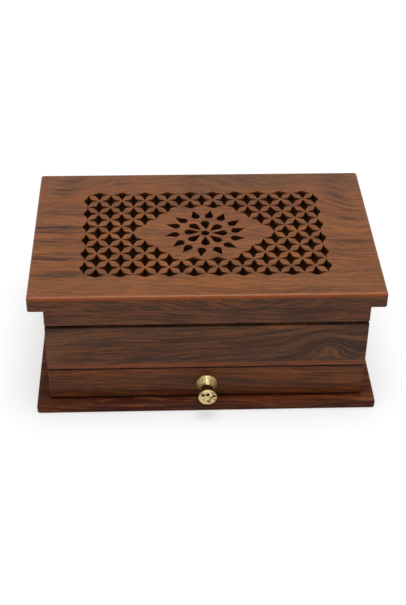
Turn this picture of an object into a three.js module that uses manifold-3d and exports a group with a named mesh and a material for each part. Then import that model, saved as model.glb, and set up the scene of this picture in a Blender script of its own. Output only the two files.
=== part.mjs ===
// Trinket box in oiled rosewood: a case with a drawer below and a compartment above,
// under a hinged lid whose panel is cut through with a four-petal fretwork and a rosette.
// Millimetres, +Z up, the front faces -Y. The origin is the centre of the base's underside.
import * as THREE from "three";
import { mergeVertices } from "three/addons/utils/BufferGeometryUtils.js";
import Module from "manifold-3d";

const wasm = await Module();
wasm.setup();

// Case
const caseWidth = 185;
const caseDepth = 132;
const wallThickness = 8;
const frontPanelHeight = 30.1;
const baseThickness = 5.2;
const baseSideProjection = 7.5;
const baseFrontProjection = 6.6;
const baseCornerRadius = 3;
const baseEase = 1.1;

// Floor of the upper compartment, let into a groove in all four walls
const floorThickness = 3;
const floorGrooveDepth = 3;
const floorGrooveLift = 2;
const floorFit = 0.3;

// Drawer
const drawerFrontHeight = 21.6;
const drawerFrontLift = 0.8;
const drawerTopGap = 0.5;
const drawerSeatGap = 0.4;
const drawerEndInset = 0.2;
const drawerSideGap = 0.6;
const drawerRunGap = 0.3;
const drawerBackGap = 4.4;
const drawerHeadroom = 3.6;
const drawerWallThickness = 6;
const drawerBottomThickness = 3;

// Lid: it overhangs the case at the sides, and is flush with it at the front and back
const lidSideOverhang = 9;
const lidThickness = 9.5;
const lidCornerRadius = 2.5;
const lidRoundOver = 1.75;
const lidRailHeight = 10;

// Butt hinges, whose closed leaves lie between the case and the lid rail
const hingeLength = 25;
const hingeInset = 30;
const leafThickness = 0.85;
const leafGap = 0.3;
const leafReach = 6.8;
const knuckleCount = 5;
const knuckleGap = 0.3;
const knuckleWall = 0.75;
const knuckleRelief = 0.3;
const pinRadius = 0.75;
const pinClearance = 0.1;
const pinHeadRadius = 1.2;
const pinHeadHeight = 0.5;
const pinDomeRadius = 0.7;
const leafScrewSpacing = 15;
const stopAngle = THREE.MathUtils.degToRad(110);

// Screws
const leafScrew = { headRadius: 1.7, headHeight: 0.8, shankRadius: 0.9, length: 6.5, slot: 0.45 };
const baseScrew = { headRadius: 2.9, headHeight: 1.7, shankRadius: 1.4, length: 17, slot: 0.8 };
const knobScrew = { headRadius: 3.4, headHeight: 2.2, shankRadius: 1.7, slot: 0.9 };
const screwFit = 0.2;
const screwSides = 12;
const baseScrewSink = 0.3;
const baseScrewInset = 15;
const screwRim = 0.05;
const slotDepthShare = 0.45;
const pointLengthShare = 0.25;
const panTopShare = 0.75;
const panCrownShare = 0.4;

// Knob, turned in brass, a little below the middle of the drawer front. Each pair of its
// outline is a radius and a distance out from the drawer front.
const knobDrop = 0.8;
const knobBoreFit = 0.25;
const knobBoreDepth = 6.6;
const knobScrewTipGap = 0.7;
const knobOutline = [
  [6.1, 0],
  [6.1, 0.7],
  [5.6, 1.6],
  [4.7, 3.0],
  [4.0, 4.5],
  [3.55, 6.0],
  [3.4, 7.4],
  [3.6, 9.2],
  [4.4, 10.8],
  [4.9, 11.5],
  [5.3, 12.2],
  [5.4, 12.8],
  [5.1, 13.35],
  [4.5, 13.5],
  [3.9, 13.2],
  [2.1, 13.45],
  [0, 13.6],
];
const knobSides = 24;

// Fretwork: stars on a checkerboard of half pitches, with petals of wood between them. A
// star's sides run straight from its tips to corners round its middle.
const starColumns = 11;
const starRows = 13;
const starPitchX = 14.1;
const starPitchY = 14.3;
const starCornerX = 2.05;
const starCornerY = 1.55;
const starBridge = 1.0;
const edgeBump = 2.4;
// Steps along a star's bump: shares of the way to the side tips, and of the bump's height
const bumpSteps = [
  [0.43, 0.38],
  [0.22, 0.85],
  [-0.22, 0.85],
  [-0.43, 0.38],
];
const plainReach = 7;
const plainHalfRows = 4;
const fretworkForward = 1.5;

// Rosette in the plain middle of the fretwork, which the hand has set a little off the middle
const rosetteRight = 1.0;
const rosetteForward = 2.25;
const eyeRadius = 2.5;
const innerDrops = { count: 8, tip: 3.5, far: 12.7, radius: 2.55, turn: 0 };
const outerDrops = { count: 14, tip: 24.7, far: 16.0, radius: 2.5, turn: 5.1 };
const dropArcPoints = 7;

// Making
const cutThrough = 1;
const weldDistance = 1e-4;
const cornerSegments = 4;
const eyeSegments = 5;
const baseEaseSteps = 2;
const roundOverSteps = 3;

// Places that follow from the sizes above
const front = -caseDepth / 2;
const back = caseDepth / 2;
const side = caseWidth / 2;
const innerSide = side - wallThickness;
const innerFront = front + wallThickness;
const innerBack = back - wallThickness;
const drawerFrontBottom = baseThickness + drawerFrontLift;
const drawerFrontTop = drawerFrontBottom + drawerFrontHeight;
const frontPanelBottom = drawerFrontTop + drawerTopGap;
const caseTop = frontPanelBottom + frontPanelHeight;
const floorBottom = frontPanelBottom + floorGrooveLift;
const leafSeat = leafGap / 2 + leafThickness;
const knuckleRadius = pinRadius + pinClearance + knuckleWall;
const knuckleReach = knuckleRadius + knuckleRelief;
const pinInset = leafSeat / Math.tan(stopAngle / 2);
const pinY = back - pinInset;
const pinZ = caseTop + leafSeat;
const pinHeadGap = knuckleGap / 2;
const hingeX = side - hingeInset - hingeLength / 2;
const leafScrewY = -(leafReach + knuckleReach) / 2;

const rosewood = { color: 0x6b4433, roughness: 0.5, metalness: 0 };
const paleWood = { color: 0x9a6d4a, roughness: 0.7, metalness: 0 };
const brass = { color: 0xc9ae6a, roughness: 0.22, metalness: 1 };
const steel = { color: 0x9c9a95, roughness: 0.4, metalness: 1 };

// A named mesh with its own material
function part(name, geometry, look) {
  const mesh = new THREE.Mesh(geometry, new THREE.MeshStandardMaterial(look));
  mesh.name = name;
  return mesh;
}

// A closed geometry as a solid that can be cut and joined
function toSolid(geometry) {
  const bare = geometry.clone();
  bare.deleteAttribute("normal");
  bare.deleteAttribute("uv");
  const merged = mergeVertices(bare, weldDistance);
  return new wasm.Manifold(
    new wasm.Mesh({
      numProp: 3,
      vertProperties: merged.attributes.position.array,
      triVerts: new Uint32Array(merged.index.array),
    }),
  );
}

// A solid as a geometry with flat faces
function toGeometry(solid) {
  const { vertProperties, triVerts } = solid.getMesh();
  const geometry = new THREE.BufferGeometry();
  geometry.setAttribute("position", new THREE.BufferAttribute(vertProperties, 3));
  geometry.setIndex(new THREE.BufferAttribute(triVerts, 1));
  const flat = geometry.toNonIndexed();
  flat.computeVertexNormals();
  return flat;
}

// The first geometry less all the others
function cut(geometry, cutters) {
  const whole = toSolid(geometry);
  return toGeometry(cutters.reduce((left, cutter) => left.subtract(toSolid(cutter)), whole));
}

// A box between two limits along each axis
function board([x0, x1], [y0, y1], [z0, z1]) {
  const place = new THREE.Matrix4().makeScale(x1 - x0, y1 - y0, z1 - z0);
  place.setPosition((x0 + x1) / 2, (y0 + y1) / 2, (z0 + z1) / 2);
  return new THREE.BoxGeometry(1, 1, 1).applyMatrix4(place);
}

// A slab on z = 0 with rounded corners, and its upper and lower edges eased
function slab(width, depth, thickness, cornerRadius, ease, easeSteps) {
  const x = width / 2;
  const y = depth / 2;
  const r = cornerRadius;
  const outline = new THREE.Shape();
  outline.moveTo(-x + r, -y);
  outline.lineTo(x - r, -y);
  outline.absarc(x - r, -y + r, r, -Math.PI / 2, 0);
  outline.lineTo(x, y - r);
  outline.absarc(x - r, y - r, r, 0, Math.PI / 2);
  outline.lineTo(-x + r, y);
  outline.absarc(-x + r, y - r, r, Math.PI / 2, Math.PI);
  outline.lineTo(-x, -y + r);
  outline.absarc(-x + r, -y + r, r, Math.PI, Math.PI * 1.5);
  const geometry = new THREE.ExtrudeGeometry(outline, {
    depth: thickness - 2 * ease,
    bevelThickness: ease,
    bevelSize: ease,
    bevelOffset: -ease,
    bevelSegments: easeSteps,
    curveSegments: cornerSegments,
  });
  return geometry.translate(0, 0, ease);
}

// A shape turned about Y from pairs of radius and height, which start and end on the axis
function turned(pairs, sides) {
  const profile = pairs.map(([radius, height]) => new THREE.Vector2(radius, height));
  return new THREE.LatheGeometry(profile, sides);
}

// A round rod along X
function rod(radius, x0, x1) {
  const bar = new THREE.CylinderGeometry(radius, radius, x1 - x0, screwSides);
  return bar.rotateZ(Math.PI / 2).translate((x0 + x1) / 2, 0, 0);
}

// A countersunk wood screw along +Y, with the face of its head at y = 0
function countersunkPairs({ headRadius, headHeight, shankRadius, length }, grow, lead) {
  const tipLength = length * pointLengthShare;
  return [
    [0, -lead],
    [headRadius + grow, -lead],
    [headRadius + grow, 0],
    [shankRadius + grow, headHeight],
    [shankRadius + grow, length - tipLength + grow],
    [0, length + grow],
  ];
}

// A cut across a screw's head for the screwdriver
function screwSlot({ headRadius, headHeight, slot }) {
  const reach = headRadius + cutThrough;
  return board([-reach, reach], [-cutThrough, headHeight * slotDepthShare], [-slot / 2, slot / 2]);
}

function woodScrew(size) {
  const pairs = countersunkPairs(size, 0, 0).toSpliced(2, 1, [size.headRadius, screwRim]);
  return cut(turned(pairs, screwSides), [screwSlot(size)]);
}

// The hole that such a screw needs, turned and moved to where the screw lies
function screwHole(size, turnX, x, y, z) {
  const hole = turned(countersunkPairs(size, screwFit, cutThrough), screwSides);
  return hole.rotateX(turnX).translate(x, y, z);
}

const pointingUp = Math.PI / 2;
const pointingDown = -pointingUp;

function byValue(a, b) {
  return a - b;
}

// Each pair of a left and a right piece
function bothSides(make) {
  return [make("left", -1), make("right", 1)].flat();
}

// The four places of the screws that hold the base to the side panels
function baseScrewPlaces() {
  const x = side - wallThickness / 2;
  const y = innerBack - baseScrewInset;
  return [
    [-x, -y],
    [x, -y],
    [-x, y],
    [x, y],
  ];
}

function baseScrewHoles() {
  return baseScrewPlaces().map(([x, y]) => screwHole(baseScrew, pointingUp, x, y, baseScrewSink));
}

function basePlate() {
  const width = caseWidth + 2 * baseSideProjection;
  const depth = caseDepth + 2 * baseFrontProjection;
  const plate = slab(width, depth, baseThickness, baseCornerRadius, baseEase, baseEaseSteps);
  return part("base_plate", cut(plate, baseScrewHoles()), rosewood);
}

function baseScrews() {
  return baseScrewPlaces().map(([x, y], index) => {
    const screw = part(`base_screw_${index + 1}`, woodScrew(baseScrew), steel);
    screw.position.set(x, y, baseScrewSink);
    screw.rotation.x = pointingUp;
    return screw;
  });
}

// The groove that holds the edges of the compartment floor, cut in all four walls at once
function floorGroove() {
  const x = innerSide + floorGrooveDepth;
  const y = innerBack + floorGrooveDepth;
  return board([-x, x], [-y, y], [floorBottom, floorBottom + floorThickness + floorFit]);
}

function compartmentFloor() {
  const x = innerSide + floorGrooveDepth - floorFit;
  const y = innerBack + floorGrooveDepth - floorFit;
  const panel = board([-x, x], [-y, y], [floorBottom, floorBottom + floorThickness]);
  return part("compartment_floor", panel, paleWood);
}

// The hollows that a wall or rail needs at each hinge: a notch for the knuckles, and screw
// holes. The leaf lies on the face at z. The wood is above that face for 1, below it for -1.
function hingeHollows(z, wood) {
  const halfNotch = hingeLength / 2 + pinHeadGap + pinHeadHeight + knuckleRelief;
  const notchZ = [z - wood * cutThrough, z + wood * (knuckleReach - leafSeat)].toSorted(byValue);
  return bothSides((name, sign) => {
    const x = sign * hingeX;
    const notchX = [x - halfNotch, x + halfNotch];
    const notch = board(notchX, [pinY - knuckleReach, back + cutThrough], notchZ);
    const holes = [-1, 1].map((end) =>
      screwHole(
        leafScrew,
        wood * pointingUp,
        x + (end * leafScrewSpacing) / 2,
        pinY + leafScrewY,
        z - wood * leafThickness,
      ),
    );
    return [notch, ...holes];
  });
}

function caseWalls() {
  const groove = floorGroove();
  const frontPanel = board([-side, side], [front, innerFront], [frontPanelBottom, caseTop]);
  const backPanel = board([-side, side], [innerBack, back], [baseThickness, caseTop]);
  const sidePanels = bothSides((name, sign) => {
    const x = [sign * innerSide, sign * side].toSorted(byValue);
    const panel = board(x, [innerFront, innerBack], [baseThickness, caseTop]);
    return part(`side_panel_${name}`, cut(panel, [groove, ...baseScrewHoles()]), rosewood);
  });
  return [
    part("front_panel", cut(frontPanel, [groove]), rosewood),
    part("back_panel", cut(backPanel, [groove, ...hingeHollows(caseTop, -1)]), rosewood),
    ...sidePanels,
  ];
}

// The start and end of one knuckle along the pin
function knuckleSpan(index) {
  const length = (hingeLength - (knuckleCount - 1) * knuckleGap) / knuckleCount;
  const start = -hingeLength / 2 + index * (length + knuckleGap);
  return [start, start + length];
}

// A leaf below the pin, with every second knuckle from the first one given
function hingeLeaf(firstKnuckle) {
  const leafZ = [-leafSeat, -leafGap / 2];
  const plate = board([-hingeLength / 2, hingeLength / 2], [-leafReach, -knuckleReach], leafZ);
  let leaf = toSolid(plate);
  for (let index = firstKnuckle; index < knuckleCount; index += 2) {
    const span = knuckleSpan(index);
    const tab = board(span, [-knuckleReach - leafThickness, 0], leafZ);
    leaf = leaf.add(toSolid(tab)).add(toSolid(rod(knuckleRadius, ...span)));
  }
  const bore = rod(pinRadius + pinClearance, -hingeLength / 2 - cutThrough, hingeLength / 2 + cutThrough);
  leaf = leaf.subtract(toSolid(bore));
  for (const end of [-1, 1]) {
    const x = (end * leafScrewSpacing) / 2;
    leaf = leaf.subtract(toSolid(screwHole(leafScrew, pointingDown, x, leafScrewY, -leafGap / 2)));
  }
  return toGeometry(leaf);
}

function hingePin() {
  const bearing = hingeLength / 2 + pinHeadGap;
  const end = bearing + pinHeadHeight;
  const pin = turned(
    [
      [0, -end],
      [pinDomeRadius, -end],
      [pinHeadRadius, -bearing],
      [pinRadius, -bearing],
      [pinRadius, bearing],
      [pinHeadRadius, bearing],
      [pinDomeRadius, end],
      [0, end],
    ],
    screwSides,
  );
  return pin.rotateZ(-Math.PI / 2);
}

// A leaf with its two screws, in a frame on the pin. The lid's leaf is the same piece turned over.
function leafWithScrews(name, firstKnuckle) {
  const frame = new THREE.Group();
  frame.add(part(`${name}_leaf`, hingeLeaf(firstKnuckle), brass));
  for (const end of [-1, 1]) {
    const screw = part(`${name}_screw_${end < 0 ? 1 : 2}`, woodScrew(leafScrew), brass);
    screw.position.set((end * leafScrewSpacing) / 2, leafScrewY, -leafGap / 2);
    screw.rotation.x = pointingDown;
    frame.add(screw);
  }
  return frame;
}

function caseHinges() {
  return bothSides((name, sign) => {
    const frame = leafWithScrews(`hinge_${name}_case`, 0);
    frame.add(part(`hinge_${name}_pin`, hingePin(), brass));
    frame.position.set(sign * hingeX, pinY, pinZ);
    return frame;
  });
}

function lidHinges() {
  return bothSides((name, sign) => {
    const frame = leafWithScrews(`hinge_${name}_lid`, 1);
    frame.position.x = sign * hingeX;
    frame.rotation.y = Math.PI;
    return frame;
  });
}

// One star hole at a place on the checkerboard. A star at the edge of the fretwork has a low
// bump in place of the tip on that side: 0 is +X, 1 is +Y, 2 is -X and 3 is -Y.
function starHole(column, row, bumpSide) {
  const halfX = starPitchX / 2;
  const halfY = starPitchY / 2;
  const nodes = [
    new THREE.Vector2(halfX, 0),
    new THREE.Vector2(0, halfY),
    new THREE.Vector2(-halfX, 0),
    new THREE.Vector2(0, -halfY),
  ];
  const points = [];
  nodes.forEach((node, index) => {
    const next = nodes[(index + 1) % 4];
    if (index === bumpSide) {
      const sideways = nodes[(index + 3) % 4];
      const outward = node.clone().normalize();
      for (const [along, rise] of bumpSteps) {
        points.push(sideways.clone().multiplyScalar(along).addScaledVector(outward, rise * edgeBump));
      }
    } else {
      points.push(node.clone().setLength(node.length() - starBridge / 2));
    }
    if (index !== bumpSide && (index + 1) % 4 !== bumpSide) {
      const x = starCornerX * Math.sign(node.x + next.x);
      points.push(new THREE.Vector2(x, starCornerY * Math.sign(node.y + next.y)));
    }
  });
  const place = new THREE.Vector2(column * halfX, row * halfY);
  return new THREE.Shape(points.map((point) => point.add(place)));
}

// All stars of the fretwork, leaving out the plain middle around the rosette
function starHoles() {
  const lastColumn = starColumns - 1;
  const lastRow = (starRows - 1) / 2;
  const holes = [];
  for (let row = -lastRow; row <= lastRow; row++) {
    for (let column = -lastColumn; column <= lastColumn; column++) {
      const onBoard = Math.abs(row + column) % 2 === 1;
      const nearMiddle = Math.abs(row) + Math.abs(column) < plainReach;
      if (!onBoard || (nearMiddle && Math.abs(row) < plainHalfRows)) {
        continue;
      }
      let bumpSide = -1;
      if (Math.abs(row) === lastRow) {
        bumpSide = row > 0 ? 1 : 3;
      } else if (Math.abs(column) === lastColumn) {
        bumpSide = column > 0 ? 0 : 2;
      } else if (nearMiddle && Math.abs(row) === plainHalfRows) {
        bumpSide = row > 0 ? 3 : 1;
      }
      holes.push(starHole(column, row, bumpSide));
    }
  }
  return holes;
}

// A ring of drops: each is a round end with a straight-sided tip that points in or out
function dropHoles({ count, tip, far, radius, turn }) {
  const outwards = Math.sign(tip - far);
  const middle = far + outwards * radius;
  const reach = Math.abs(tip - middle);
  const tangent = Math.acos(radius / reach);
  const holes = [];
  for (let index = 0; index < count; index++) {
    const heading = (index * 2 * Math.PI) / count + THREE.MathUtils.degToRad(turn);
    const towardsTip = outwards > 0 ? heading : heading + Math.PI;
    const centre = new THREE.Vector2(middle * Math.cos(heading), middle * Math.sin(heading));
    const points = [new THREE.Vector2(tip * Math.cos(heading), tip * Math.sin(heading))];
    for (let step = 0; step < dropArcPoints; step++) {
      const sweep = (2 * Math.PI - 2 * tangent) * (step / (dropArcPoints - 1));
      const angle = towardsTip + tangent + sweep;
      points.push(new THREE.Vector2(Math.cos(angle), Math.sin(angle)).multiplyScalar(radius).add(centre));
    }
    holes.push(new THREE.Shape(points));
  }
  return holes;
}

function eyeHole() {
  return new THREE.Shape().absarc(0, 0, eyeRadius, 0, Math.PI * 2);
}

// Shapes cut right through the lid's panel at their place
function throughLid(shapes, x, y) {
  const cutter = new THREE.ExtrudeGeometry(shapes, {
    depth: lidThickness + 2 * cutThrough,
    bevelEnabled: false,
    curveSegments: eyeSegments,
  });
  return cutter.translate(x, y, -cutThrough);
}

// The lid's panel: its upper edge is rounded over, and its lower edge is left square
function lidPanel() {
  const width = caseWidth + 2 * lidSideOverhang;
  const height = lidThickness + lidRoundOver;
  const blank = slab(width, caseDepth, height, lidCornerRadius, lidRoundOver, roundOverSteps);
  blank.translate(0, 0, -lidRoundOver);
  const below = board([-width, width], [-caseDepth, caseDepth], [-lidRoundOver - cutThrough, 0]);
  const fretwork = throughLid(starHoles(), 0, -fretworkForward);
  const rosetteShapes = [...dropHoles(innerDrops), ...dropHoles(outerDrops), eyeHole()];
  const rosette = throughLid(rosetteShapes, rosetteRight, -rosetteForward);
  return cut(blank, [below, fretwork, rosette]);
}

function lidRails() {
  const height = [0, lidRailHeight];
  const backRail = board([-side, side], [innerBack, back], height);
  return [
    part("lid_rail_front", board([-side, side], [front, innerFront], height), rosewood),
    part("lid_rail_back", cut(backRail, hingeHollows(0, 1)), rosewood),
    ...bothSides((name, sign) => {
      const x = [sign * innerSide, sign * side].toSorted(byValue);
      return part(`lid_rail_${name}`, board(x, [innerFront, innerBack], height), rosewood);
    }),
  ];
}

// The lid turns about the origin of its group, which lies on the hinge pins
function lid() {
  const group = new THREE.Group();
  group.position.set(0, pinY, pinZ);
  const boards = new THREE.Group();
  boards.position.set(0, -pinY, leafSeat);
  const panel = part("lid_panel", lidPanel(), rosewood);
  panel.position.z = lidRailHeight;
  boards.add(panel, ...lidRails());
  group.add(boards, ...lidHinges());
  return group;
}

// A pan-headed screw through the drawer front into the knob, along +Y with its head below 0
function knobScrewBody() {
  const { headRadius, headHeight, shankRadius } = knobScrew;
  const length = wallThickness - drawerSeatGap + knobBoreDepth - knobScrewTipGap;
  const crown = headHeight * panCrownShare;
  const body = turned(
    [
      [0, -headHeight],
      [headRadius * panTopShare, -headHeight],
      [headRadius, -headHeight + crown],
      [headRadius, 0],
      [shankRadius, 0],
      [shankRadius, length],
      [0, length],
    ],
    screwSides,
  );
  return cut(body, [screwSlot(knobScrew).translate(0, -headHeight, 0)]);
}

function knobBody() {
  const bore = knobScrew.shankRadius + knobBoreFit;
  return turned([[0, knobBoreDepth], [bore, knobBoreDepth], [bore, 0], ...knobOutline], knobSides);
}

function drawer() {
  const group = new THREE.Group();
  const outer = innerSide - drawerSideGap;
  const inner = outer - drawerWallThickness;
  const frontBack = innerFront - drawerSeatGap;
  const end = innerBack - drawerBackGap;
  const bottom = baseThickness + drawerRunGap;
  const trayFloor = bottom + drawerBottomThickness;
  const trayTop = floorBottom - drawerHeadroom;
  const knobZ = (drawerFrontBottom + drawerFrontTop) / 2 - knobDrop;
  const frontX = side - drawerEndInset;

  const frontBoard = board([-frontX, frontX], [front, frontBack], [drawerFrontBottom, drawerFrontTop]);
  const holeRadius = knobScrew.shankRadius + screwFit;
  const holeLength = wallThickness + 2 * cutThrough;
  const holePairs = [
    [0, 0],
    [holeRadius, 0],
    [holeRadius, holeLength],
    [0, holeLength],
  ];
  const knobHole = turned(holePairs, screwSides).translate(0, front - cutThrough, knobZ);
  group.add(part("drawer_front", cut(frontBoard, [knobHole]), rosewood));

  const bottomBoard = board([-outer, outer], [frontBack, end], [bottom, trayFloor]);
  group.add(part("drawer_bottom", bottomBoard, paleWood));
  const backBoard = board([-inner, inner], [end - drawerWallThickness, end], [trayFloor, trayTop]);
  group.add(part("drawer_back", backBoard, rosewood));
  const sides = bothSides((name, sign) => {
    const x = [sign * inner, sign * outer].toSorted(byValue);
    return part(`drawer_side_${name}`, board(x, [frontBack, end], [trayFloor, trayTop]), rosewood);
  });
  group.add(...sides);

  const knob = part("knob", knobBody(), brass);
  knob.position.set(0, front, knobZ);
  knob.rotation.z = Math.PI;
  const screw = part("knob_screw", knobScrewBody(), steel);
  screw.position.set(0, frontBack, knobZ);
  screw.rotation.z = Math.PI;
  group.add(knob, screw);
  return group;
}

const trinketBox = new THREE.Group();
trinketBox.add(basePlate(), ...baseScrews(), ...caseWalls(), compartmentFloor(), ...caseHinges());
trinketBox.add(lid(), drawer());

export default trinketBox;
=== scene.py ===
import math

import bmesh
import bpy
import numpy as np
from mathutils import Matrix, Vector
from mathutils.geometry import delaunay_2d_cdt


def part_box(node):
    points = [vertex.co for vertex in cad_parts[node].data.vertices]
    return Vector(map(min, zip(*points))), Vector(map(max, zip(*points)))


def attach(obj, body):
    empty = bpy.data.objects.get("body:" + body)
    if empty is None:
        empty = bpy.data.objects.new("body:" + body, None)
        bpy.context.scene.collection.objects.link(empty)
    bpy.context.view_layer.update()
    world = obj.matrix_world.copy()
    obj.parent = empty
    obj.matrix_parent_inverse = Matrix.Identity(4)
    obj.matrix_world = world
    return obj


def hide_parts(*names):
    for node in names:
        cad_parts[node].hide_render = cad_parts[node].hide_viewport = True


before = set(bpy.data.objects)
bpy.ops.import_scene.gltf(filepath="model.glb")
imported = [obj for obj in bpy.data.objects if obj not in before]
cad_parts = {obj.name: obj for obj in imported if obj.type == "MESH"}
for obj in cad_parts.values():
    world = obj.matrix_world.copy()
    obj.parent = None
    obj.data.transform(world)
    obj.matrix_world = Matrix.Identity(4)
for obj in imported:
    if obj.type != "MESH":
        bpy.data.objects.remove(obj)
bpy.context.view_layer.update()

MM = 0.001
WELD = 1e-6

# Photograph's camera: its frame and focal length in pixels, place in mm and turns in degrees
PHOTO_HEIGHT = 605
FOCAL_LENGTH = 1214.7
SENSOR = 36.0
CAMERA_PLACE = (-28.70, -607.43, 485.26)
CAMERA_YAW = -2.728
CAMERA_PITCH = 37.097
CAMERA_ROLL = 0.840

# Hinges: the leaf, knuckles, pin and screws, from the pin's line
HINGE_HALF = 12.5
LEAF_NEAR = -1.9
LEAF_FAR = -6.8
LEAF_LOW = -1.0
LEAF_HIGH = -0.15
TAB_END = -1.2
KNUCKLES = 5
KNUCKLE_GAP = 0.3
KNUCKLE_RADIUS = 1.6
HINGE_EASE = 0.12
BORE_RADIUS = 0.85
PIN_RADIUS = 0.75
PIN_HEAD_RADIUS = 1.2
PIN_SHOULDER = 12.65
PIN_END = 13.15
NOTCH_HALF = 13.45
NOTCH_REACH = 1.9
LEAF_SCREW_X = 7.5
LEAF_SCREW_Y = -4.35
LEAF_SCREW_HEAD = 1.7
LEAF_SCREW_SHANK = 0.9

# Screws up through the base into the sides, and the one that holds the knob
BASE_SCREW_X = 88.5
BASE_SCREW_Y = 43.0
BASE_SCREW_HEAD = 2.9
BASE_SCREW_SHANK = 1.4
BASE_SCREW_FACE = 0.3
HEAD_SEAT = 2.0
SCREW_FIT = 0.2
KNOB_SCREW_HEAD = 3.4
KNOB_SCREW_SHANK = 1.7
KNOB_SCREW_CROWN = 0.88

# Fretwork of the lid: stars between petals, laid out by their pitch, with a bridge of wood
# between tips. A star's side is two cuts that meet at its corner, and the stars that end the
# pattern have a low bump instead of a tip.
STAR_COLUMNS = 11
STAR_ROWS = 13
STAR_PITCH = np.array([14.1, 14.3])
STAR_CORNER = np.array([2.05, 1.55])
CORNER_ROUND = 0.22
STAR_BRIDGE = 1.0
STAR_HAND = 5
HAND_WANDER = 0.13
EDGE_BUMP = 2.4
BUMP_SPREAD = 0.42
BUMP_END = 0.93
BUMP_POINTS = 19
PLAIN_REACH = 7
PLAIN_HALF_ROWS = 4
FRETWORK_PLACE = (0.0, -1.5)
ROSETTE_PLACE = (1.0, -2.25)
EYE_PLACE = (-0.1, -0.4)
EYE_RADIUS = 2.5
# Each ring of drops: count, distance of tips and far ends from the middle, radius, turn, lean
DROP_RINGS = ((8, 3.4, 12.75, 2.7, -2.7, 2.5), (14, 24.7, 15.9, 2.6, 5.1, 6.5))
# The hand's usual slip at a drop: degrees round the ring, distance outwards, degrees of twist
DROP_SLIP = (1.6, 0.35, 4.0)
ROSETTE_HAND = 1466


def node_box(node):
    """A CAD node's lowest and highest corner in millimetres."""
    low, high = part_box(node)
    return np.array(low) / MM, np.array(high) / MM


# The hinges' pins: the distance of each from the middle, and the line that both lie on
HINGE_X, PIN_Y, PIN_Z = np.mean(node_box("hinge_right_pin"), axis=0).tolist()


def loop_of(*points):
    """Written points as an array."""
    return np.array(points, float)


def rounded_rectangle(low, high, radius, inset=0.0, steps=6):
    """A rectangle's loop, anticlockwise. Each corner is a quarter circle of the radius less
    the inset, about a centre that lies the radius in from both sides."""
    x0, y0 = np.add(low, inset)
    x1, y1 = np.subtract(high, inset)
    r = max(radius - inset, 0.0)
    sweep = np.linspace(0.0, math.pi / 2, steps + 1)
    centres = ((x1 - r, y0 + r), (x1 - r, y1 - r), (x0 + r, y1 - r), (x0 + r, y0 + r))
    corners = []
    for index, centre in enumerate(centres):
        angle = sweep + (index - 1) * math.pi / 2
        corners.append(np.column_stack([np.cos(angle), np.sin(angle)]) * r + centre)
    return np.concatenate(corners)


def circle(radius, sides, centre=(0.0, 0.0)):
    """Points at even angles round a centre."""
    angle = np.arange(sides) * 2 * math.pi / sides
    return np.column_stack([np.cos(angle), np.sin(angle)]) * radius + centre


def grown(loop, distance, most=1.7):
    """A loop moved outwards: each point goes along the mean of its two edges' normals, by the
    distance over the cosine of half the turn there, and at most `most` times the distance."""
    edge = np.roll(loop, -1, axis=0) - loop
    edge /= np.linalg.norm(edge, axis=1, keepdims=True)
    normal = np.column_stack([edge[:, 1], -edge[:, 0]])
    mean = normal + np.roll(normal, 1, axis=0)
    mean /= np.linalg.norm(mean, axis=1, keepdims=True)
    stretch = 1.0 / np.maximum((mean * normal).sum(axis=1), 1.0 / most)
    return loop + mean * (distance * stretch)[:, None]


def at_height(loop, height):
    """A flat loop lifted to a height."""
    return np.column_stack([loop, np.full(len(loop), float(height))])


def eased_edge(low, high, low_ease, high_ease, steps=3):
    """(inset, height) pairs up an edge whose two arrises are quarter circles."""
    sweep = np.linspace(0.0, math.pi / 2, steps + 1)
    below = zip(low_ease * (1 - np.sin(sweep)), low + low_ease * (1 - np.cos(sweep)))
    above = zip(high_ease * (1 - np.cos(sweep)), high - high_ease * (1 - np.sin(sweep)))
    return [*below, *above]


def skin(loops, around=True):
    """Points and quads over rows of points: quad (i, j) joins rows i and i + 1 at points j and
    j + 1, and where the rows go around, the last point joins the first."""
    rows = np.asarray(loops, float)
    count, width = rows.shape[:2]
    i, j = np.meshgrid(np.arange(count - 1), np.arange(width - (not around)), indexing="ij")
    here = i * width + j
    beside = i * width + (j + 1) % width
    quads = np.stack([here, beside, beside + width, here + width], axis=-1)
    return rows.reshape(-1, 3), quads.reshape(-1, 4)


def pierced(outer, holes=()):
    """A solid with holes right through it. Its outside and each hole are skins over rows from
    bottom to top, and a constrained Delaunay net closes both ends between their first rows."""
    ends = [np.concatenate([outer[row], *[hole[row] for hole in holes]]) for row in (0, -1)]
    starts = np.cumsum([0, len(outer[0]), *[len(hole[0]) for hole in holes]])
    loops = [list(range(start, end)) for start, end in zip(starts, starts[1:])]
    net = delaunay_2d_cdt([Vector(point[:2]) for point in ends[0]], [], loops, 2, 1e-5)
    source = np.array([ids[0] for ids in net[3]])
    triangles = source[np.array(net[2])]
    walls = [skin(outer), *[skin(hole[::-1]) for hole in holes]]
    return [*walls, (ends[0], triangles[:, ::-1]), (ends[1], triangles)]


def turned(profile, sides):
    """A shape turned about +Z: row i is a circle of the radius and at the height of pair i."""
    return [skin([at_height(circle(radius, sides), height) for radius, height in profile])]


def smooth_run(points, steps=6):
    """A curve through points: between each two runs a cubic, whose slope at a point is half
    the way from the point before it to the one after it."""
    p = np.asarray(points, float)
    slope = np.gradient(p, axis=0)
    t = np.linspace(0.0, 1.0, steps, endpoint=False)[:, None]
    runs = [
        p[k] * (2 * t**3 - 3 * t**2 + 1)
        + slope[k] * (t**3 - 2 * t**2 + t)
        + p[k + 1] * (3 * t**2 - 2 * t**3)
        + slope[k + 1] * (t**3 - t**2)
        for k in range(len(p) - 1)
    ]
    return np.concatenate([*runs, p[-1:]])


def moved(shells, matrix):
    """The same shells carried by a matrix in millimetres."""
    turn = np.array(matrix.to_3x3())
    shift = np.array(matrix.translation)
    return [(points @ turn.T + shift, faces) for points, faces in shells]


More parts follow.
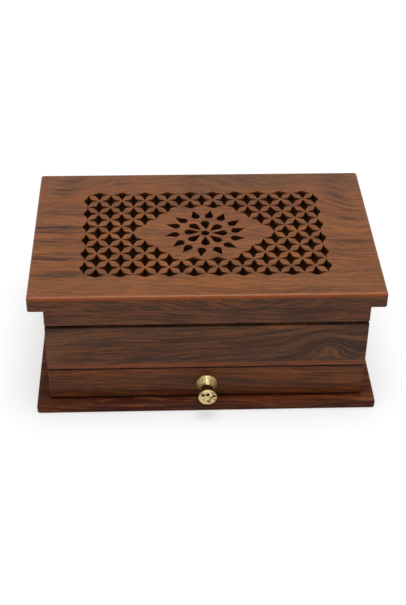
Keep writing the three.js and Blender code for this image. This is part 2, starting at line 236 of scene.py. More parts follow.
def piece(name, shells, body, nodes, material, sharp=32.0, linings=()):
    """One welded mesh of all the shells, which rides on a body and stands for CAD nodes. Each
    lining is a further material with the numbers of the shells that take it."""
    lined = {number: index for index, (_, those) in enumerate(linings, 1) for number in those}
    points, faces, kinds, start = [], [], [], 0
    for number, (shell_points, shell_faces) in enumerate(shells):
        points.append(shell_points)
        faces += (shell_faces + start).tolist()
        kinds.append(np.full(len(shell_faces), lined.get(number, 0), np.int32))
        start += len(shell_points)
    mesh = bpy.data.meshes.new(name)
    mesh.from_pydata(np.concatenate(points) * MM, [], faces)
    for used in (material, *[lining for lining, _ in linings]):
        mesh.materials.append(used)
    mesh.polygons.foreach_set("material_index", np.concatenate(kinds))
    work = bmesh.new()
    work.from_mesh(mesh)
    bmesh.ops.remove_doubles(work, verts=work.verts, dist=WELD)
    work.to_mesh(mesh)
    work.free()
    mesh.shade_smooth()
    mesh.set_sharp_from_angle(angle=math.radians(sharp))
    thing = bpy.data.objects.new(name, mesh)
    bpy.context.scene.collection.objects.link(thing)
    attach(thing, body)
    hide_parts(*nodes)
    return thing


# Directions in which a shape worked out along +Z is laid
ALONG_X = Matrix(((0, 0, 1, 0), (1, 0, 0, 0), (0, 1, 0, 0), (0, 0, 0, 1)))
TOWARDS_FRONT = Matrix(((1, 0, 0, 0), (0, 0, -1, 0), (0, 1, 0, 0), (0, 0, 0, 1)))
TOWARDS_BACK = Matrix(((-1, 0, 0, 0), (0, 0, 1, 0), (0, 1, 0, 0), (0, 0, 0, 1)))
DOWNWARDS = Matrix(((1, 0, 0, 0), (0, -1, 0, 0), (0, 0, -1, 0), (0, 0, 0, 1)))


def at_place(x, y, z, turn=Matrix()):
    """The matrix that turns a shape and carries it to a place in millimetres."""
    return Matrix.Translation((x, y, z)) @ turn


def board(low, high, corner, low_ease, high_ease, holes=(), steps=3):
    """A board with rounded corners and eased arrises: row i of its outside is the rounded
    rectangle brought in by the inset of pair i of the eased edge."""
    rows = [
        at_height(rounded_rectangle(low[:2], high[:2], corner, inset), height)
        for inset, height in eased_edge(low[2], high[2], low_ease, high_ease, steps)
    ]
    return pierced(rows, holes)


def hinged_board(low, high, ease, lies_above):
    """A board along X with a notch for each hinge's knuckles: a rounded rectangle in YZ
    carried along X, where one corner's points fold in to three at each notch."""
    steps = 6
    edge_y = PIN_Y - NOTCH_REACH
    if lies_above:
        notch_z = PIN_Z + NOTCH_REACH
        fold = loop_of((edge_y, low[2]), (edge_y, notch_z), (high[1], notch_z))
        first = 0
    else:
        notch_z = PIN_Z - NOTCH_REACH
        fold = loop_of((high[1], notch_z), (edge_y, notch_z), (edge_y, high[2]))
        first = steps + 1

    def section(inset, notched=False):
        loop = rounded_rectangle(low[1:], high[1:], ease, inset, steps)
        if notched:
            loop[first : first + steps + 1] = fold[[0, 0, 0, 1, 2, 2, 2]]
        return loop

    stations = eased_edge(low[0], high[0], ease, ease)
    middle = len(stations) // 2
    rows = [at_height(section(inset), x) for inset, x in stations[:middle]]
    for centre in (-HINGE_X, HINGE_X):
        for x, notched in ((-1, False), (-1, True), (1, True), (1, False)):
            rows.append(at_height(section(0.0, notched), centre + x * NOTCH_HALF))
    rows += [at_height(section(inset), x) for inset, x in stations[middle:]]
    return moved(pierced(rows), ALONG_X)


def slotted_screw(head, crown, levels, slot, slot_floor, steps=14):
    """A screw whose head faces +Z. The face is a grid of chords, where chord i lies at the sine
    of angle i times the head's radius, and it domes by crown times 1 less the radius share
    squared, or drops to the slot's floor. Levels are the (radius, height) pairs below it."""
    side = math.asin(slot / 2 / head)
    clear_of_slot = 0.02
    angles = np.linspace(-math.pi / 2, math.pi / 2, 2 * steps + 1)
    angles = angles[np.abs(angles) > side + clear_of_slot]
    half = len(angles) // 2
    angles = np.concatenate([angles[:half], [-side, -side, side, side], angles[half:]])
    sunk = np.zeros(len(angles), bool)
    sunk[half + 1 : half + 3] = True
    across = np.linspace(-1.0, 1.0, 9)
    x = np.outer(np.cos(angles), across) * head
    y = np.outer(np.sin(angles), np.ones_like(across)) * head
    dome = crown * (1 - (x**2 + y**2) / head**2)
    z = np.where(sunk[:, None], slot_floor, dome)
    face = skin(np.stack([x, y, z], axis=-1), around=False)
    rim_x = np.concatenate([np.cos(angles), -np.cos(angles[::-1])])
    rim_y = np.concatenate([np.sin(angles), np.sin(angles[::-1])])
    rim_sunk = np.concatenate([sunk, sunk[::-1]])
    rows = []
    for radius, height in [*levels[::-1], (head, 0.0)]:
        lowered = np.where(rim_sunk, min(height, slot_floor), height)
        rows.append(np.column_stack([rim_x * radius, rim_y * radius, lowered]))
    return [face, skin(rows)]


# Colour and surface


def linear(hex_colour):
    """A written sRGB colour as linear RGBA."""
    parts = [int(hex_colour[k : k + 2], 16) / 255 for k in (1, 3, 5)]
    return (*[p / 12.92 if p <= 0.04045 else ((p + 0.055) / 1.055) ** 2.4 for p in parts], 1.0)


def node(tree, kind, links=None, out=0, **settings):
    """Adds a node with its settings, sets its sockets to a value or links them to a socket, and
    returns one of its own sockets, or the node where out is None."""
    made = tree.nodes.new(kind)
    for name, value in settings.items():
        setattr(made, name, value)
    for name, value in (links or {}).items():
        if isinstance(value, bpy.types.NodeSocket):
            tree.links.new(value, made.inputs[name])
        else:
            made.inputs[name].default_value = value
    return made if out is None else made.outputs[out]


def maths(tree, operation, first, second=0.0, clamp=False):
    """A sum on two numbers, kept between 0 and 1 where clamp is set."""
    settings = {"operation": operation, "use_clamp": clamp}
    return node(tree, "ShaderNodeMath", {0: first, 1: second}, **settings)


def vector_maths(tree, operation, first, second=(0.0, 0.0, 0.0), out=0):
    """A sum on two vectors."""
    return node(tree, "ShaderNodeVectorMath", {0: first, 1: second}, out, operation=operation)


def mixed(tree, share, first, second):
    """The first colour where the share is 0, running to the second where it is 1."""
    return node(tree, "ShaderNodeMix", {0: share, 6: first, 7: second}, 2, data_type="RGBA")


def scaled(tree, vector, scale, place=(0.0, 0.0, 0.0), turn=0.0):
    """Coordinates scaled along each axis, turned about Z and then moved by a place."""
    links = {"Vector": vector, "Location": place, "Scale": scale, "Rotation": (0.0, 0.0, turn)}
    return node(tree, "ShaderNodeMapping", links)


def noise(tree, vector, detail, roughness):
    """Smooth random values about 0.5, which change over about 1 of the vector's units."""
    return node(
        tree,
        "ShaderNodeTexNoise",
        {"Vector": vector, "Scale": 1.0, "Detail": detail, "Roughness": roughness},
    )


def between(tree, value, low, high):
    """0 at the low value, 1 at the high one and smooth between."""
    return node(
        tree,
        "ShaderNodeMapRange",
        {"Value": value, "From Min": low, "From Max": high},
        interpolation_type="SMOOTHSTEP",
    )


def new_surface(name):
    """A material, its tree, its main shader and its object coordinates in millimetres."""
    material = bpy.data.materials.new(name)
    material.use_nodes = True
    tree = material.node_tree
    shader = tree.nodes["Principled BSDF"]
    place = node(tree, "ShaderNodeTexCoord", out="Object")
    return material, tree, shader, scaled(tree, place, (1 / MM,) * 3)


def near(tree, place, centre, reach):
    """1 at a centre, falling by a bell curve over the reach along each axis."""
    away = vector_maths(tree, "SUBTRACT", place, centre)
    away = vector_maths(tree, "DIVIDE", away, reach)
    away = vector_maths(tree, "DOT_PRODUCT", away, away, out="Value")
    return maths(tree, "EXPONENT", maths(tree, "MULTIPLY", away, -1.0))


def growth_rings(tree, place, board, offset, tilt, lean, swirls):
    """A value that grows by 1 a millimetre across the rings: a plane's distance across the
    board, waved by slow noise over 50 to 150 mm, which swells where a branch grew."""
    wave = noise(tree, scaled(tree, place, (0.0075, 0.02, 0.02), offset), 1.0, 0.4)
    ripple = noise(tree, scaled(tree, place, (0.028, 0.07, 0.07), offset), 1.0, 0.4)
    angle = math.radians(tilt)
    across = (lean, math.cos(angle), math.sin(angle))
    ring = vector_maths(tree, "DOT_PRODUCT", place, across, out="Value")
    ring = maths(tree, "ADD", ring, maths(tree, "MULTIPLY", wave, 16.0))
    ring = maths(tree, "ADD", ring, maths(tree, "MULTIPLY", ripple, 4.0))
    for centre, reach, lift in swirls:
        swell = maths(tree, "MULTIPLY", near(tree, board, centre, reach), lift)
        ring = maths(tree, "ADD", ring, swell)
    return ring


def over(tree, colour, share, strength, hex_colour):
    """A colour with another laid over it, by a share times a strength."""
    share = maths(tree, "MULTIPLY", share, strength, clamp=True)
    return mixed(tree, share, colour, linear(hex_colour))


def rosewood(
    name,
    along_y=False,
    offset=(0.0, 0.0, 0.0),
    tilt=35.0,
    lean=0.03,
    band=0.14,
    line=0.5,
    fibre=(0.04, 1.1),
    banding=0.7,
    rust=0.3,
    cloud=0.5,
    lined=0.45,
    gloss=1.0,
    colours=("#87522F", "#4E3225"),
    swirls=(),
    smokes=(),
    tints=(),
    painted_shade=(),
    painted_light_and_tone=(),
):
    """Oiled Indian rosewood with a satin wipe of varnish: orange-brown to grey-brown bands with
    darker streaks that follow the growth rings, and long open pores that dull the sheen. Band,
    line and fibre are how close these lie, and banding, rust, cloud and lined how strong each
    shows. Swirls, smokes, and the patches of tone and painted light, are places with a reach
    and a strength, and tints and the bands of painted shade are heights between which a colour
    sets in."""
    material, tree, shader, place = new_surface(name)
    board = place
    if along_y:
        place = scaled(tree, place, (1.0, 1.0, 1.0), turn=math.pi / 2)
    ring = growth_rings(tree, place, board, offset, tilt, lean, swirls)
    # Bands a few mm wide, streaks 2 mm wide and 40 mm long, and fibres finer than both
    along = node(tree, "ShaderNodeSeparateXYZ", {0: place})
    field = node(tree, "ShaderNodeCombineXYZ", {0: along, 1: ring})
    bands = noise(tree, scaled(tree, field, (0.004, band, 1.0), offset), 3.0, 0.55)
    lines = noise(tree, scaled(tree, field, (0.02, line, 1.0), offset), 2.0, 0.55)
    patches = noise(tree, scaled(tree, field, (0.012, 0.05, 1.0), offset), 1.0, 0.5)
    fibres = noise(tree, scaled(tree, field, (*fibre, 1.0), offset), 3.0, 0.65)
    clouds = noise(tree, scaled(tree, place, (0.014, 0.026, 0.026), offset), 1.0, 0.5)
    # Real pores are 0.15 mm wide: these are 0.4 mm, so that they show
    pores = noise(tree, scaled(tree, place, (0.22, 2.6, 2.6)), 1.0, 0.5)
    colour = over(tree, linear(colours[0]), between(tree, bands, 0.42, 0.58), banding, colours[1])
    colour = over(tree, colour, between(tree, patches, 0.45, 0.62), rust, "#8F481C")
    colour = over(tree, colour, between(tree, clouds, 0.42, 0.62), cloud, "#5A3A28")
    # Tints and, over the grain, painted shade: each sets in from the first height to the second
    height = node(tree, "ShaderNodeSeparateXYZ", {0: board}, "Z")
    for start, full, strength, tint in tints:
        colour = over(tree, colour, between(tree, height, start, full), strength, tint)
    colour = over(tree, colour, between(tree, lines, 0.50, 0.66), lined, "#2E1B12")
    # Smoke: dark grain that gathers at the given places, in streaks along the rings
    if smokes:
        thick = 0.0
        for centre, reach, strength in smokes:
            part = maths(tree, "MULTIPLY", near(tree, board, centre, reach), strength)
            thick = maths(tree, "ADD", part, thick)
        threads = noise(tree, scaled(tree, field, (0.011, 0.36, 1.0), offset), 1.0, 0.4)
        colour = over(tree, colour, between(tree, threads, 0.47, 0.62), thick, "#2C1A14")
        colour = over(tree, colour, thick, 0.25, "#3A251C")
    colour = over(tree, colour, between(tree, fibres, 0.50, 0.66), 0.45, "#B56A38")
    colour = over(tree, colour, between(tree, fibres, 0.50, 0.35), 0.55, "#38231A")
    open_pore = between(tree, pores, 0.56, 0.70)
    colour = over(tree, colour, open_pore, 0.45, "#2C1B14")
    # Painted shade by height: hole walls darkened below their arris as if in shadow
    for start, full, strength, tint in painted_shade:
        colour = over(tree, colour, between(tree, height, start, full), strength, tint)
    # Patches of tone, and painted light and shade at places: painted shadow along gaps and arrises,
    # painted highlights and sheen
    for centre, reach, strength, tint in painted_light_and_tone:
        colour = over(tree, colour, near(tree, board, centre, reach), strength, tint)
    tree.links.new(colour, shader.inputs["Base Color"])
    rough = maths(tree, "ADD", maths(tree, "MULTIPLY", open_pore, 0.2), 0.44)
    tree.links.new(rough, shader.inputs["Roughness"])
    relief = maths(tree, "SUBTRACT", maths(tree, "MULTIPLY", fibres, 0.6), open_pore)
    bump = node(
        tree, "ShaderNodeBump", {"Height": relief, "Strength": 0.4, "Distance": 0.00008}
    )
    tree.links.new(bump, shader.inputs["Normal"])
    shader.inputs["IOR"].default_value = 1.45
    shader.inputs["Specular IOR Level"].default_value = 0.15 * gloss
    shader.inputs["Coat Weight"].default_value = 0.12 * gloss
    shader.inputs["Coat Roughness"].default_value = 0.2
    return material


def inner_wood(name):
    """Plain sapwood board, planed and left bare: paler, dull, with faint long streaks."""
    material, tree, shader, place = new_surface(name)
    streaks = noise(tree, scaled(tree, place, (0.01, 0.22, 0.22)), 4.0, 0.6)
    pores = noise(tree, scaled(tree, place, (0.1, 2.0, 2.0)), 2.0, 0.6)
    colour = mixed(tree, between(tree, streaks, 0.35, 0.7), linear("#A67A54"), linear("#7F583B"))
    dark = maths(tree, "MULTIPLY", between(tree, pores, 0.55, 0.75), 0.4)
    colour = mixed(tree, dark, colour, linear("#5A3B28"))
    tree.links.new(colour, shader.inputs["Base Color"])
    bump = node(tree, "ShaderNodeBump", {"Height": pores, "Strength": 0.3, "Distance": 0.00005})
    tree.links.new(bump, shader.inputs["Normal"])
    shader.inputs["Roughness"].default_value = 0.68
    return material


def metal(name, bright, dull, roughness, patch, fine, relief=0.2, tarnish_and_shade=()):
    """Metal whose colour runs from bright to a duller film in soft patches, with fine marks
    that spread its reflections. Patch and fine are sizes in millimetres. The dark spots are a
    list of ragged spots, each a centre and a reach, that are nearly black and dull: tarnish,
    and painted shade where the metal lies in shadow."""
    material, tree, shader, place = new_surface(name)
    film = noise(tree, scaled(tree, place, (1 / patch,) * 3), 3.0, 0.6)
    colour = mixed(tree, between(tree, film, 0.4, 0.65), linear(bright), linear(dull))
    rough = maths(tree, "ADD", maths(tree, "MULTIPLY", film, roughness * 0.5), roughness * 0.75)
    marks = noise(tree, scaled(tree, place, (1 / fine,) * 3), 2.0, 0.6)
    # Dark spots: tarnish, and painted shade where the metal lies in shadow
    if tarnish_and_shade:
        spots = maths(tree, "MULTIPLY", marks, 1.5)
        for centre, reach in tarnish_and_shade:
            spots = maths(tree, "ADD", spots, near(tree, place, centre, reach))
        spots = between(tree, spots, 1.2, 1.5)
        colour = mixed(tree, spots, colour, linear("#452B10"))
        rough = maths(tree, "ADD", rough, maths(tree, "MULTIPLY", spots, 0.3))
    tree.links.new(colour, shader.inputs["Base Color"])
    tree.links.new(rough, shader.inputs["Roughness"])
    links = {"Height": marks, "Strength": relief, "Distance": fine * 0.00024}
    tree.links.new(node(tree, "ShaderNodeBump", links), shader.inputs["Normal"])
    shader.inputs["Metallic"].default_value = 1.0
    return material


# Fretwork


def petal_side(start, end, wander):
    """Two straight saw cuts from neighbouring tips of a star, whose corner is rounded by a
    parabola: first (1 - t)^2 + 2 corner t (1 - t) + last t^2."""
    corner = STAR_CORNER * np.sign(start + end) + wander
    first, last = (corner + (tip - corner) * CORNER_ROUND for tip in (start, end))
    t = np.linspace(0.0, 1.0, 6)[:, None]
    return first * (1 - t) ** 2 + 2 * corner * t * (1 - t) + last * t**2


def bump_side(start, peak):
    """Points from one side tip to the other over a low bump towards the peak's side: the bump's
    height times a bell curve of the way along."""
    share = np.linspace(BUMP_END, -BUMP_END, BUMP_POINTS)[:, None]
    rise = EDGE_BUMP * np.exp(-((share / BUMP_SPREAD) ** 2))
    return start * share + peak / np.linalg.norm(peak) * rise


def star(column, row, bump, hand):
    """A four-pointed hole between petals, whose tip on the bump's side is a low bump. The
    hand's wander moves each corner a little."""
    half = STAR_PITCH / 2
    tips = [half * direction for direction in ((1, 0), (0, 1), (-1, 0), (0, -1))]
    runs = []
    for index, tip in enumerate(tips):
        following = (index + 1) % 4
        if index == bump:
            runs.append(bump_side(tips[index - 1], tip))
            continue
        runs.append([tip * (1 - STAR_BRIDGE / 2 / np.linalg.norm(tip))])
        if following != bump:
            runs.append(petal_side(tip, tips[following], hand.normal(0.0, HAND_WANDER, 2)))
    return np.concatenate(runs) + half * (column, row)


def stars():
    """Every star hole, on a checkerboard of half pitches round the plain middle."""
    last_column = STAR_COLUMNS - 1
    last_row = (STAR_ROWS - 1) // 2
    hand = np.random.default_rng(STAR_HAND)
    loops = []
    for row in range(-last_row, last_row + 1):
        for column in range(-last_column, last_column + 1):
            central = abs(row) + abs(column) < PLAIN_REACH
            if (row + column) % 2 == 0 or (central and abs(row) < PLAIN_HALF_ROWS):
                continue
            bump = None
            if abs(row) == last_row:
                bump = 1 if row > 0 else 3
            elif abs(column) == last_column:
                bump = 0 if column > 0 else 2
            elif central and abs(row) == PLAIN_HALF_ROWS:
                bump = 3 if row > 0 else 1
            loops.append(star(column, row, bump, hand))
    return loops


def drops(hand, count, tip, far, radius, turn, lean, points=20):
    """A ring of drops: each is a circle's arc joined by two tangents to a pointed tip. Its aim
    is off its heading by the lean times 1 plus the cosine of twice the heading. The hand slips
    a little at each drop."""
    outwards = tip > far
    middle = far + radius if outwards else far - radius
    length = abs(tip - middle)
    tangent = math.acos(radius / length)
    reach = np.array([length, *[radius] * points])[:, None]
    loops = []
    for index in range(count):
        round_by, out_by, twist = hand.normal(0.0, DROP_SLIP)
        heading = math.radians(turn + round_by + index * 360 / count)
        twist += lean * (1 + math.cos(2 * heading))
        aim = heading + math.radians(twist) + (0.0 if outwards else math.pi)
        angle = np.array([0.0, *np.linspace(tangent, 2 * math.pi - tangent, points)]) + aim
        centre = np.array([math.cos(heading), math.sin(heading)]) * (middle + out_by)
        loops.append(np.column_stack([np.cos(angle), np.sin(angle)]) * reach + centre)
    return loops


def rosette():
    """The eye and both rings of drops round it."""
    hand = np.random.default_rng(ROSETTE_HAND)
    loops = [circle(EYE_RADIUS, 32, EYE_PLACE)]
    for ring in DROP_RINGS:
        loops += drops(hand, *ring)
    return loops


def sawn_holes(loops, place, bottom, top, arris=0.12):
    """Each hole's rows from the lid's underside to its top, where the arris is broken."""
    stacks = []
    for loop in loops:
        placed = loop + place
        rows = ((placed, bottom), (placed, top - arris), (grown(placed, arris), top))
        stacks.append([at_height(row, height) for row, height in rows])
    return stacks


# Woods and metals of this box, with the heights and faces that their marks lie at

LID_FRONT = node_box("lid_panel")[0][1]
LID_BACK, LID_TOP = node_box("lid_panel")[1][1:].tolist()
CASE_FRONT, PANEL_FOOT = node_box("front_panel")[0][1:].tolist()
CASE_TOP = node_box("front_panel")[1][2]
DRAWER_FRONT, DRAWER_FOOT = node_box("drawer_front")[0][1:].tolist()
DRAWER_TOP = node_box("drawer_front")[1][2]
# A reach that takes in the whole board
ALL = 1e4


def on_lid(rows):
    """Places on the lid's top, each with its reach along X and Y and its strength."""
    return [((x, y, LID_TOP), (wide, deep, 60.0), strength) for x, y, wide, deep, strength in rows]


LID_GRAIN = {
    "offset": (3.1, 1.7, 0.4),
    "tilt": 18.0,
    "band": 0.09,
    "line": 0.3,
    "banding": 0.42,
    "rust": 0.25,
    "cloud": 0.3,
    "lined": 0.12,
    "fibre": (0.08, 1.6),
    "colours": ("#8D552D", "#68442A"),
    "swirls": on_lid(
        ((-84, 54, 26, 26, 15), (-2, 70, 16, 26, -8), (46, 66, 22, 24, 7), (96, 34, 20, 34, 16))
    ),
    "smokes": on_lid(
        (
            (-78, 56, 9, 6, 0.9), (-86, 45, 8, 9, 0.9), (-76, 26, 11, 6, 0.8), (-52, 54, 8, 4, 0.6),
            (-3, 60, 7, 14, 0.6), (20, 55, 11, 6, 0.4), (83, 56, 9, 8, 0.9), (84, 38, 7, 9, 0.9),
            (90, 20, 7, 11, 0.8), (86, 8, 7, 6, 0.5), (77, -12, 14, 4, 0.4), (90, -14, 12, 6, 0.5),
            (79, -25, 12, 4, 0.4), (-88, 3, 20, 4, 1.7), (-88, -9, 20, 4, 1.7), (-90, 19, 18, 3, 1.4),
            (0, 64, 90, 9, 0.2), (-86, -28, 20, 4, 1.3), (-86, -46, 20, 5, 1.0), (30, -60, 60, 5, 0.5),
        )
    ),
}
# The lid's edges are darker below the round-over. The lid is darker left of the rosette,
# and carries painted shade along the back and painted warmer light in front. Along the
# front the round-over carries a painted highlight at its top and a painted orange sheen below.
LID_TINTS = ((LID_TOP - 1.8, LID_TOP - 3.2, 0.7, "#684331"),)
LID_PAINTED_LIGHT_AND_TONE = (
    ((0.0, LID_BACK, LID_TOP), (ALL, 32.0, ALL), 0.28, "#4A3024"),
    ((-24.0, -3.0, LID_TOP), (18.0, 9.0, ALL), 0.24, "#4A3426"),
    ((0.0, LID_FRONT + 11.0, LID_TOP), (ALL, 8.0, ALL), 0.16, "#AC6C3E"),
    ((0.0, LID_FRONT, LID_TOP - 1.2), (ALL, 2.5, 0.95), 0.85, "#A85428"),
    ((0.0, LID_FRONT + 0.8, LID_TOP - 0.2), (ALL, 0.8, 0.3), 0.35, "#CC8A5C"),
)
WOODS = {
    "lid": rosewood("oiled_rosewood_lid", tints=LID_TINTS, painted_light_and_tone=LID_PAINTED_LIGHT_AND_TONE, **LID_GRAIN),
    # The walls of the fretwork carry painted shade below their arris and a painted orange glow
    # of light at the arris itself, and are paler again towards the underside
    "fretwork": rosewood(
        "sawn_rosewood_fretwork",
        tints=((LID_TOP, LID_TOP - 0.5, 0.5, "#7A451C"),),
        painted_shade=(
            (LID_TOP - 0.4, LID_TOP - 2.2, 0.88, "#321B0E"),
            (LID_TOP - 2.2, LID_TOP - 6.0, 0.9, "#84603F"),
        ),
        **LID_GRAIN,
    ),
    # Little light gets under the plain middle, so the rosette's walls carry painted shade to the top
    "rosette": rosewood(
        "sawn_rosewood_rosette",
        painted_shade=((LID_TOP + 0.2, LID_TOP - 0.5, 0.88, "#3A2517"),),
        **LID_GRAIN,
    ),
    # The plain rails and back are a cooler, browner wood with no marks of its own
    "rail": rosewood(
        "oiled_rosewood_lid_rail",
        offset=(7.3, 0.2, 5.1),
        tilt=60.0,
        colours=("#7D4D33", "#4C3328"),
    ),
    # The front has the boldest stripes, which swirl round a knot at the right. Its foot is
    # worn to a lighter orange, and both arrises carry a painted black shadow line from the gaps
    "front": rosewood(
        "oiled_rosewood_front",
        offset=(1.9, 4.6, 2.2),
        tilt=80.0,
        band=0.13,
        line=0.22,
        lined=0.3,
        banding=0.95,
        colours=("#93603F", "#48332A"),
        lean=-0.07,
        swirls=(((70.0, -66.0, 44.0), (16.0, 20.0, 9.0), -10.0),),
        tints=((PANEL_FOOT + 3.9, PANEL_FOOT + 3.4, 0.85, "#A85A34"),),
        painted_light_and_tone=(
            ((0.0, CASE_FRONT, CASE_TOP), (ALL, 0.4, 0.3), 1.0, "#150C08"),
            ((0.0, CASE_FRONT, PANEL_FOOT), (ALL, 0.4, 0.4), 1.0, "#150C08"),
        ),
    ),
    "side": rosewood("oiled_rosewood_side", along_y=True, offset=(5.5, 2.4, 8.3), tilt=70.0),
    # The drawer is redder. About the knob it is darker, partly from darker grain and partly
    # from the knob's painted shadow, and its arrises carry painted black shadow along the gaps
    "drawer": rosewood(
        "oiled_rosewood_drawer",
        offset=(0.7, 8.8, 3.6),
        tilt=84.0,
        lined=0.3,
        colours=("#8A4B24", "#4F2F1E"),
        painted_light_and_tone=(
            ((-6.0, DRAWER_FRONT, 17.0), (22.0, ALL, 12.0), 0.45, "#2A1810"),
            ((92.5, DRAWER_FRONT, 17.0), (0.6, 0.6, 16.0), 1.0, "#170D08"),
            ((0.0, DRAWER_FRONT, DRAWER_FOOT), (ALL, 0.9, 1.2), 1.0, "#170D08"),
            ((0.0, DRAWER_FRONT, DRAWER_TOP), (ALL, 0.5, 0.45), 1.0, "#170D08"),
        ),
    ),
    # The base is the darkest and reddest, with the least sheen
    "base": rosewood(
        "oiled_rosewood_base",
        offset=(9.2, 6.1, 1.5),
        tilt=62.0,
        gloss=0.4,
        lined=0.2,
        banding=0.45,
        cloud=0.35,
        colours=("#633220", "#42231A"),
    ),
}
BARE_WOOD = inner_wood("bare_sapwood")
# The knob's brass is speckled from casting and its face has ragged spots of tarnish. Round
# its neck a dark ring is partly tarnish and partly painted shade under the head. Each spot
# on the face is its place across and up, and its size.
KNOB_Z = np.mean(node_box("knob"), axis=0)[2]
FACE_SPOTS = ((-2.7, 1.8, 1.4), (0.2, 2.3, 1.3), (3.8, 1.4, 1.2), (0.3, -2.6, 1.0), (2.2, 0.2, 0.8))
FACE_DEPTH = 13.4
NECK_SHADE_DEPTHS = (6.9, 9.2)
KNOB_TARNISH_AND_SHADE = [
    *[((x, DRAWER_FRONT - FACE_DEPTH, KNOB_Z + z), (size, 1.2, size)) for x, z, size in FACE_SPOTS],
    # Neck rings: partly tarnish, partly painted shade under the head
    *[((0.0, DRAWER_FRONT - depth, KNOB_Z), (9.0, 2.2, 9.0)) for depth in NECK_SHADE_DEPTHS],
]
KNOB_BRASS = metal(
    "cast_brass",
    "#EBD5A0",
    "#92793A",
    roughness=0.5,
    patch=1.0,
    fine=0.8,
    relief=1.0,
    tarnish_and_shade=KNOB_TARNISH_AND_SHADE,
)
HINGE_BRASS = metal("rolled_brass", "#C7A95F", "#8D7038", roughness=0.32, patch=4.0, fine=0.2)
SCREW_STEEL = metal("bright_steel", "#B9B6B0", "#7E7A74", roughness=0.34, patch=2.0, fine=0.2)


# Pieces of the lid, the case and the drawer


def plain_board(name, body, source, wood, corner, low_ease, high_ease):
    """A board that fills its CAD node's box, with its upright corners and its lower and upper
    arrises eased."""
    low, high = node_box(source)
    shells = board(low, high, corner, low_ease, high_ease)
    piece(name, shells, body, [source], WOODS[wood])


def dress_lid():
    """The fretted panel, whose holes have their own woods, on a rim of four rails."""
    low, high = node_box("lid_panel")
    around = sawn_holes(stars(), FRETWORK_PLACE, low[2], high[2])
    middle = sawn_holes(rosette(), ROSETTE_PLACE, low[2], high[2])
    shells = board(low, high, 1.6, 0.3, 1.75, around + middle, steps=6)
    # Shell 0 is the board's outside, and the holes' walls follow it
    first = 1 + len(around)
    piece(
        "fretted_lid",
        shells,
        "lid",
        ["lid_panel"],
        WOODS["lid"],
        linings=(
            (WOODS["fretwork"], range(1, first)),
            (WOODS["rosette"], range(first, first + len(middle))),
        ),
    )
    for side, wood in (("front", "rail"), ("left", "side"), ("right", "side")):
        plain_board(f"lid_rim_{side}", "lid", f"lid_rail_{side}", wood, 0.35, 0.15, 0.0)
    low, high = node_box("lid_rail_back")
    shells = hinged_board(low, high, 0.35, lies_above=True)
    piece("lid_rim_back", shells, "lid", ["lid_rail_back"], WOODS["rail"])


def dress_case():
    """The walls of the case on the base, which is bored for four screws from below."""
    plain_board("case_front", "case", "front_panel", "front", 0.4, 0.2, 0.2)
    low, high = node_box("back_panel")
    shells = hinged_board(low, high, 0.4, lies_above=False)
    piece("case_back", shells, "case", ["back_panel"], WOODS["rail"])
    for side in ("left", "right"):
        plain_board(f"case_{side}", "case", f"side_panel_{side}", "side", 0.2, 0.0, 0.4)
    low, high = node_box("base_plate")
    wide, narrow = BASE_SCREW_HEAD + SCREW_FIT, BASE_SCREW_SHANK + SCREW_FIT
    rows = ((wide, low[2]), (wide, BASE_SCREW_FACE), (narrow, HEAD_SEAT), (narrow, high[2]))
    holes = []
    for x in (-BASE_SCREW_X, BASE_SCREW_X):
        for y in (-BASE_SCREW_Y, BASE_SCREW_Y):
            holes.append([at_height(circle(radius, 32, (x, y)), z) for radius, z in rows])
    shells = board(low, high, 2.0, 0.8, 1.1, holes, steps=4)
    piece("plinth", shells, "case", ["base_plate"], WOODS["base"])


def dress_drawer():
    """The drawer's front and the three walls behind it."""
    plain_board("drawer_face", "drawer", "drawer_front", "drawer", 0.5, 0.8, 0.3)
    for side in ("left", "right"):
        name, source = f"drawer_wall_{side}", f"drawer_side_{side}"
        plain_board(name, "drawer", source, "side", 0.1, 0.0, 0.4)
    plain_board("drawer_wall_back", "drawer", "drawer_back", "rail", 0.1, 0.0, 0.4)


def dress_knob():
    """A collar that narrows to a waist, and a head with a sunk ring round its domed face."""
    collar = [(0.0, 0.0), (5.95, 0.0), (6.1, 0.15), (6.1, 0.55)]
    waist = [
        (5.95, 0.8), (5.5, 1.6), (4.7, 3.0), (4.0, 4.5),
        (3.55, 6.0), (3.4, 7.4), (3.6, 9.2), (4.4, 10.8),
    ]
    head = [(4.4, 10.8), (4.9, 11.5), (5.3, 12.2), (5.4, 12.8), (5.1, 13.35), (4.5, 13.5)]
    face = [(4.5, 13.5), (3.9, 13.2), (2.1, 13.45), (0.0, 13.6)]
    profile = np.concatenate([collar, smooth_run(waist), smooth_run(head), smooth_run(face)])
    low, high = node_box("knob")
    middle = (low + high) / 2
    shells = moved(turned(profile, 96), at_place(middle[0], high[1], middle[2], TOWARDS_FRONT))
    piece("brass_knob", shells, "drawer", ["knob"], KNOB_BRASS, sharp=40.0)


